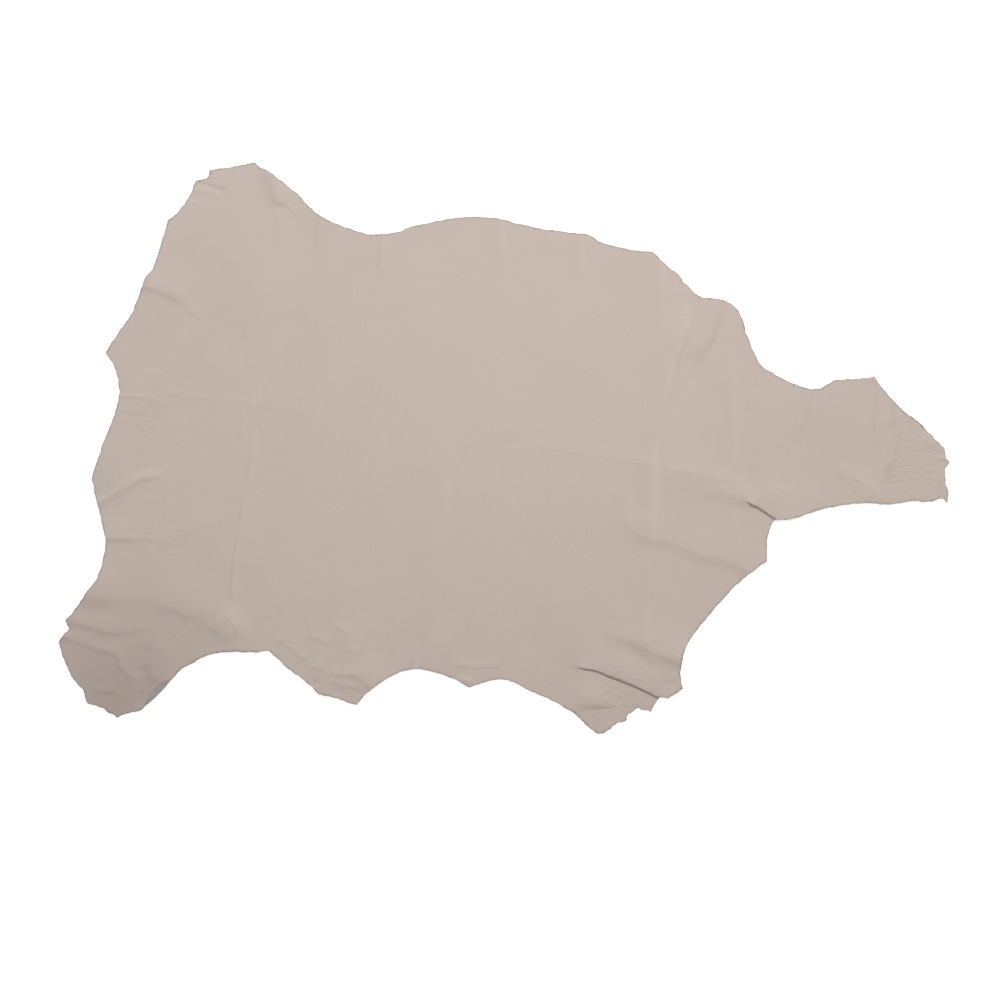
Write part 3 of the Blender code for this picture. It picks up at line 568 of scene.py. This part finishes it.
def round_the_outline(loop):
    """Rounds the facets of the cut edge but keeps its corners."""
    places = np.array([tuple(vertex.co) for vertex in loop])
    ahead = np.roll(places, -2, axis=0) - places
    behind = places - np.roll(places, 2, axis=0)
    lengths = np.linalg.norm(ahead, axis=1) * np.linalg.norm(behind, axis=1)
    cosine = (ahead * behind).sum(1) / lengths
    free = (cosine > OUTLINE_CORNER).astype(float)[:, None]
    for _ in range(OUTLINE_ROUNDS):
        middle = (np.roll(places, 1, axis=0) + np.roll(places, -1, axis=0)) / 2
        places += 0.5 * free * (middle - places)
    for vertex, place in zip(loop, places):
        vertex.co = place


def looseness(x, y):
    """How loose the grain is at a place, from 0 to 1."""
    value = 0.0
    for patch in LOOSE_PATCHES:
        away = math.hypot(x - patch.x, y - patch.y) / patch.radius
        value = max(value, patch.strength * (1.0 - min(1.0, away)) ** LOOSE_FALL)
    return value


def make_ragged(loop):
    """A knife's slight wander along the cut edge, in the plane of the sheet."""
    places = [vertex.co.copy() for vertex in loop]
    for i, vertex in enumerate(loop):
        run = places[(i + 1) % len(loop)] - places[i - 1]
        out = Vector((run.y, -run.x, 0.0))
        if out.length < NO_LENGTH or vertex.normal.z < BENT:
            continue
        spot = places[i] / (RAGGED_LENGTH * MM)
        step = noise.noise(spot) + FINE_HEIGHT * noise.noise(spot * FINE_WAVES)
        height = RAGGED_HEIGHT + RAGGED_MORE * looseness(places[i].x / MM, places[i].y / MM)
        vertex.co += out.normalized() * step * height * MM


def mark(skin, name, values):
    """Keeps a number for each vertex, which the materials read by its name."""
    layer = skin.verts.layers.float.new(name)
    for vertex, value in zip(skin.verts, values):
        vertex[layer] = value


def rim_shade_values(places, inside):
    """Above 0 on the cut edge for its painted shade, up to 1 at the shaded edges, and 0 inside."""
    values = np.zeros(len(places))
    for i in np.where(inside == 0.0)[0]:
        x, y, _ = places[i]
        dark = max(1.0 - math.hypot(x - edge.x, y - edge.y) / edge.radius for edge in SHADED_EDGES)
        values[i] = RIM_SHARE + SHADED_RIM_SHARE * smooth(2.0 * dark)
    return values


def highlight_values(places):
    """Above 0 along the crests that get a painted highlight."""
    by_name = {crease.name: crease for crease in CREASES}
    values = np.zeros(len(places))
    for crest in HIGHLIGHT_CRESTS:
        highlight_line = by_name[crest.crease]._replace(height=crest.share, left=crest.width, right=crest.width)
        values += crease_lift(highlight_line, places)
    return values


def mark_all(skin):
    """Marks the painted shade at the cut edge, where the grain is loose, and the painted highlights along
    crests.
    """
    places, _, _, inside = arrays(skin)
    mark(skin, "rim_shade", rim_shade_values(places, inside))
    mark(skin, "loose", [looseness(x, y) for x, y, _ in places])
    mark(skin, "painted_highlight", highlight_values(places))


def make_sheet(node, materials):
    """The finished sheet, on the folds of the solid's upper skin."""
    skin = grain_side(node)
    refine(skin, [])
    soften(skin, FACET_ROUNDS)
    refine(skin, crease_samples() + border_samples(skin))
    soften(skin, SPLIT_ROUNDS)
    flip_slivers(skin)
    soften(skin, FLIP_ROUNDS)
    ease_tips(skin)
    settle(skin)
    loop = border_loop(skin)
    round_the_outline(loop)
    make_ragged(loop)
    add_creases(skin)
    mark_all(skin)
    mesh = bpy.data.meshes.new("hide_sheet")
    skin.to_mesh(mesh)
    skin.free()
    for material in materials:
        mesh.materials.append(material)
    mesh.shade_smooth()
    sheet = bpy.data.objects.new("hide_sheet", mesh)
    bpy.context.scene.collection.objects.link(sheet)
    thicken(sheet)
    return sheet


def thicken(sheet):
    """Gives the sheet its flesh side and cut edge, and keeps them off the floor."""
    body = sheet.modifiers.new("thickness", "SOLIDIFY")
    body.thickness = THICKNESS * MM
    body.offset = -1.0
    body.use_quality_normals = True
    body.material_offset = 1
    body.material_offset_rim = 2
    bpy.context.view_layer.update()
    thick = sheet.evaluated_get(bpy.context.evaluated_depsgraph_get())
    mesh = bpy.data.meshes.new_from_object(thick)
    sheet.modifiers.clear()
    sheet.data = mesh
    for vertex in mesh.vertices:
        vertex.co.z = max(vertex.co.z, 0.0)
    mesh.set_sharp_from_angle(angle=math.radians(CORNER_ANGLE))


# ---------------------------------------------------------------- materials
GRAIN_COLOUR = (0.534, 0.451, 0.400)
# Painted light: the grain brighter and warmer towards the middle of the sheet.
GRAIN_WARM_LIT = (0.583, 0.486, 0.416)
GRAIN_DEEP = (0.535, 0.446, 0.390)
GRAIN_PALE = (0.575, 0.486, 0.431)
# Painted highlight along the crests of some creases.
GRAIN_PAINTED_HIGHLIGHT = (0.660, 0.572, 0.515)
# Painted shade: the grain darker at the lower-left foot.
GRAIN_LEG_SHADE = (0.425, 0.349, 0.306)
# Painted shade along the cut edge.
RIM_SHADE_COLOUR = (0.170, 0.125, 0.105)
FLESH_COLOUR = (0.330, 0.305, 0.290)
FLESH_PALE = (0.420, 0.392, 0.375)
CUT_COLOUR = (0.330, 0.270, 0.235)
FLOOR_COLOUR = (0.90, 0.90, 0.90)
WHITE = (1.0, 1.0, 1.0)

# Ellipses in which the grain's colour changes towards another: painted light, brighter and warmer towards
# the middle, and painted shade at the lower-left foot.
Patch = namedtuple("Patch", "x y radius_x radius_y")
LIT_MIDDLE_PATCH = Patch(40, -25, 560, 360)
LEG_SHADE_PATCH = Patch(-520, -335, 230, 190)

CLOUD_SHARE = 0.6           # how much of the pale clouds shows
SPECK_SHARE = 0.22          # and of the deep specks
RIM_POWER = 1.8             # how fast the rim's dark dies out inwards

# Sizes of the marks in colour and gloss.
CLOUD_SIZE = 70
SPECK_SIZE = 6
GLOSS_SIZE = 16
FLESH_PATCH_SIZE = 22

# Relief: how wide its features are, and how deep.
Relief = namedtuple("Relief", "size depth")
PORES = Relief(1.5, 0.035)
PEBBLES = Relief(2.2, 0.08)
SWELLS = Relief(40, 0.5)
WRINKLES = Relief(11, 0.8)
FINE_WRINKLE_SIZE = 5
WRINKLE_STRETCH = (0.55, 1.5, 1.0)
NAP = Relief(0.9, 0.12)
FLESH_LUMPS = Relief(6, 0.25)
FIBRES = Relief(0.7, 0.10)
FIBRE_STRETCH = (1.0, 1.0, 3.0)

NOISE_RANGE = (0.3, 0.7)    # where nearly all values of a noise lie
SPECK_RANGE = (0.35, 0.65)
SATIN = (0.60, 0.68)        # roughness of the grain, from its glossier to its duller places


def set_inputs(node, values):
    """Sets a node's own sockets, by their names."""
    for name, value in values.items():
        node.inputs[name].default_value = value


class Nodes:
    """Short ways to add and link shader nodes."""

    def __init__(self, name):
        self.material = bpy.data.materials.new(name)
        self.material.use_nodes = True
        self.tree = self.material.node_tree
        self.shader = self.tree.nodes["Principled BSDF"]
        self.place = self.add("ShaderNodeTexCoord").outputs["Object"]

    def add(self, kind, **values):
        node = self.tree.nodes.new(kind)
        for name, value in values.items():
            setattr(node, name, value)
        return node

    def link(self, output, target):
        self.tree.links.new(output, target)

    def stretched(self, scale):
        """The place, scaled apart along each axis."""
        mapping = self.add("ShaderNodeMapping")
        self.link(self.place, mapping.inputs["Vector"])
        mapping.inputs["Scale"].default_value = scale
        return mapping.outputs["Vector"]

    def noise(self, size, detail=2.0, roughness=0.5, vector=None):
        """A noise whose features are about size millimetres across."""
        node = self.add("ShaderNodeTexNoise")
        self.link(vector or self.place, node.inputs["Vector"])
        set_inputs(node, {"Scale": 1.0 / (size * MM), "Detail": detail, "Roughness": roughness})
        return node.outputs["Fac"]

    def cells(self, size):
        """Cells about size millimetres across, from 0 on their borders."""
        node = self.add("ShaderNodeTexVoronoi", feature="DISTANCE_TO_EDGE")
        self.link(self.place, node.inputs["Vector"])
        set_inputs(node, {"Scale": 1.0 / (size * MM)})
        return node.outputs["Distance"]

    def math(self, operation, a, b):
        node = self.add("ShaderNodeMath", operation=operation)
        for socket, value in zip(node.inputs, (a, b)):
            if isinstance(value, (int, float)):
                socket.default_value = value
            else:
                self.link(value, socket)
        return node.outputs["Value"]

    def remap(self, value, old, new=(0.0, 1.0)):
        """Takes the range old to the range new, and holds what lies outside it."""
        node = self.add("ShaderNodeMapRange")
        self.link(value, node.inputs["Value"])
        set_inputs(node, {"From Min": old[0], "From Max": old[1], "To Min": new[0], "To Max": new[1]})
        return node.outputs["Result"]

    def inside(self, patch):
        """1 at the centre of a patch, and 0 from its rim on."""
        mapping = self.add("ShaderNodeMapping")
        self.link(self.place, mapping.inputs["Vector"])
        set_inputs(mapping, {
            "Location": (-patch.x / patch.radius_x, -patch.y / patch.radius_y, 0.0),
            "Scale": (1.0 / (patch.radius_x * MM), 1.0 / (patch.radius_y * MM), 0.0),
        })
        length = self.add("ShaderNodeVectorMath", operation="LENGTH")
        self.link(mapping.outputs["Vector"], length.inputs[0])
        return self.remap(length.outputs["Value"], (0.0, 1.0), (1.0, 0.0))

    def attribute(self, name):
        return self.add("ShaderNodeAttribute", attribute_name=name).outputs["Fac"]

    def mix(self, share, a, b):
        """A colour between two, each a socket or an RGB triple."""
        node = self.add("ShaderNodeMix", data_type="RGBA")
        self.link(share, node.inputs["Factor"])
        for name, colour in (("A", a), ("B", b)):
            socket = [item for item in node.inputs if item.name == name and item.type == "RGBA"][0]
            if isinstance(colour, tuple):
                socket.default_value = (*colour, 1.0)
            else:
                self.link(colour, socket)
        return [item for item in node.outputs if item.type == "RGBA"][0]

    def bump(self, height, depth, normal=None):
        """A relief of that depth in millimetres, on top of the normal where one is given."""
        node = self.add("ShaderNodeBump")
        set_inputs(node, {"Distance": depth * MM, "Strength": 1.0})
        self.link(height, node.inputs["Height"])
        if normal:
            self.link(normal, node.inputs["Normal"])
        return node.outputs["Normal"]

    def colour_and_relief(self, colour, normal):
        self.link(colour, self.shader.inputs["Base Color"])
        self.link(normal, self.shader.inputs["Normal"])


def grain_material():
    """Smooth nappa: a satin finish over fine pores, cloudy in colour, wrinkled where loose, with painted
    light and shade in its colour.
    """
    n = Nodes("hide grain")
    cloud = n.remap(n.noise(CLOUD_SIZE, detail=3.0, roughness=0.55), NOISE_RANGE)
    speck = n.remap(n.noise(SPECK_SIZE, detail=3.0, roughness=0.6), SPECK_RANGE)
    # Painted light, brighter and warmer towards the middle.
    colour = n.mix(n.inside(LIT_MIDDLE_PATCH), GRAIN_COLOUR, GRAIN_WARM_LIT)
    colour = n.mix(n.math("MULTIPLY", cloud, CLOUD_SHARE), colour, GRAIN_PALE)
    colour = n.mix(n.math("MULTIPLY", speck, SPECK_SHARE), colour, GRAIN_DEEP)
    # Painted shade, darker towards the lower-left foot.
    colour = n.mix(n.inside(LEG_SHADE_PATCH), colour, GRAIN_LEG_SHADE)
    # Painted highlight along some crests.
    colour = n.mix(n.attribute("painted_highlight"), colour, GRAIN_PAINTED_HIGHLIGHT)
    # Painted shade along the cut edge, strongest where it stands off the floor.
    colour = n.mix(n.math("POWER", n.attribute("rim_shade"), RIM_POWER), colour, RIM_SHADE_COLOUR)

    pebbles = n.noise(PEBBLES.size, detail=3.0, roughness=0.6)
    stretched = n.stretched(WRINKLE_STRETCH)
    wrinkles = n.noise(WRINKLES.size, detail=4.0, roughness=0.6, vector=stretched)
    wrinkles = n.math("ADD", wrinkles, n.noise(FINE_WRINKLE_SIZE, detail=3.0))
    normal = n.bump(n.cells(PORES.size), PORES.depth)
    normal = n.bump(pebbles, PEBBLES.depth, normal)
    normal = n.bump(n.noise(SWELLS.size), SWELLS.depth, normal)
    normal = n.bump(n.math("MULTIPLY", wrinkles, n.attribute("loose")), WRINKLES.depth, normal)

    n.colour_and_relief(colour, normal)
    n.link(n.remap(n.noise(GLOSS_SIZE), NOISE_RANGE, SATIN), n.shader.inputs["Roughness"])
    set_inputs(n.shader, {"Specular IOR Level": 0.24})
    return n.material


def flesh_material():
    """Grey suede: short nap with a soft sheen."""
    n = Nodes("hide flesh side")
    patchy = n.remap(n.noise(FLESH_PATCH_SIZE, detail=4.0, roughness=0.6), NOISE_RANGE)
    normal = n.bump(n.noise(NAP.size, detail=3.0, roughness=0.7), NAP.depth)
    normal = n.bump(n.noise(FLESH_LUMPS.size, detail=3.0), FLESH_LUMPS.depth, normal)
    n.colour_and_relief(n.mix(patchy, FLESH_COLOUR, FLESH_PALE), normal)
    set_inputs(n.shader, {
        "Roughness": 0.92,
        "Specular IOR Level": 0.2,
        "Sheen Weight": 0.25,
        "Sheen Roughness": 0.5,
    })
    return n.material


def cut_material():
    """The raw cut through the skin: fibres between the dyed grain and the grey flesh."""
    n = Nodes("hide cut edge")
    fibres = n.noise(FIBRES.size, detail=4.0, roughness=0.7, vector=n.stretched(FIBRE_STRETCH))
    colour = n.mix(n.remap(fibres, NOISE_RANGE), CUT_COLOUR, FLESH_PALE)
    n.colour_and_relief(colour, n.bump(fibres, FIBRES.depth))
    set_inputs(n.shader, {"Roughness": 0.9, "Specular IOR Level": 0.2})
    return n.material


# ---------------------------------------------------------------- stage
FLOOR_SIZE = 12.0           # metres
FLOOR_GAP = 0.2             # below the hide, so that the two never share a plane
FLOOR_GLOW = 0.50           # of its own light, which keeps it white
WORLD_STRENGTH = 0.18

# Square lamps, in metres and watts.
Lamp = namedtuple("Lamp", "name place aim size power")
LAMPS = (
    Lamp("key light", (1.54, 2.66, 2.35), (0.0, 0.0, 0.0), 1.3, 111.0),
    Lamp("overhead light", (-0.75, 0.5, 2.4), (-0.1, 0.1, 0.0), 2.0, 28.5),
)


def make_floor():
    bpy.ops.mesh.primitive_plane_add(size=FLOOR_SIZE, location=(0.0, 0.0, -FLOOR_GAP * MM))
    floor = bpy.context.object
    floor.name = "floor"
    material = bpy.data.materials.new("floor")
    material.use_nodes = True
    set_inputs(material.node_tree.nodes["Principled BSDF"], {
        "Base Color": (*FLOOR_COLOUR, 1.0),
        "Roughness": 0.9,
        "Specular IOR Level": 0.1,
        "Emission Color": (*WHITE, 1.0),
        "Emission Strength": FLOOR_GLOW,
    })
    floor.data.materials.append(material)


def add_lamp(lamp):
    data = bpy.data.lights.new(lamp.name, "AREA")
    data.shape = "SQUARE"
    data.size = lamp.size
    data.energy = lamp.power
    light = bpy.data.objects.new(lamp.name, data)
    light.location = lamp.place
    direction = Vector(lamp.aim) - Vector(lamp.place)
    light.rotation_euler = direction.to_track_quat("-Z", "Y").to_euler()
    bpy.context.scene.collection.objects.link(light)


def make_light():
    for lamp in LAMPS:
        add_lamp(lamp)
    world = bpy.data.worlds.new("studio")
    world.use_nodes = True
    background = world.node_tree.nodes["Background"]
    set_inputs(background, {"Color": (*WHITE, 1.0), "Strength": WORLD_STRENGTH})
    bpy.context.scene.world = world
    bpy.context.scene.view_settings.view_transform = "Standard"


def make_camera():
    """Looks straight down, with the photograph's width of floor in its frame."""
    data = bpy.data.cameras.new("camera")
    data.lens = data.sensor_width * CAMERA_HEIGHT / (VIEW_WIDTH * MM)
    camera = bpy.data.objects.new("camera", data)
    camera.location = (VIEW_MIDDLE[0] * MM, VIEW_MIDDLE[1] * MM, CAMERA_HEIGHT)
    bpy.context.scene.collection.objects.link(camera)
    bpy.context.scene.camera = camera


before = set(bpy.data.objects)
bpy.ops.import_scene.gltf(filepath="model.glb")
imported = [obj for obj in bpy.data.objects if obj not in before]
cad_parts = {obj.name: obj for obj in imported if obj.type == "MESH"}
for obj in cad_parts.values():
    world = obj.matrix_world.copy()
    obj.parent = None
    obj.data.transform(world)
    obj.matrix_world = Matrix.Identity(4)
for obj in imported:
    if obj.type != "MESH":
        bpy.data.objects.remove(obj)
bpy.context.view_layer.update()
make_camera()
hide = make_sheet(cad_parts["hide"], (grain_material(), flesh_material(), cut_material()))
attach(hide, "root")
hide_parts("hide")
make_floor()
make_light()
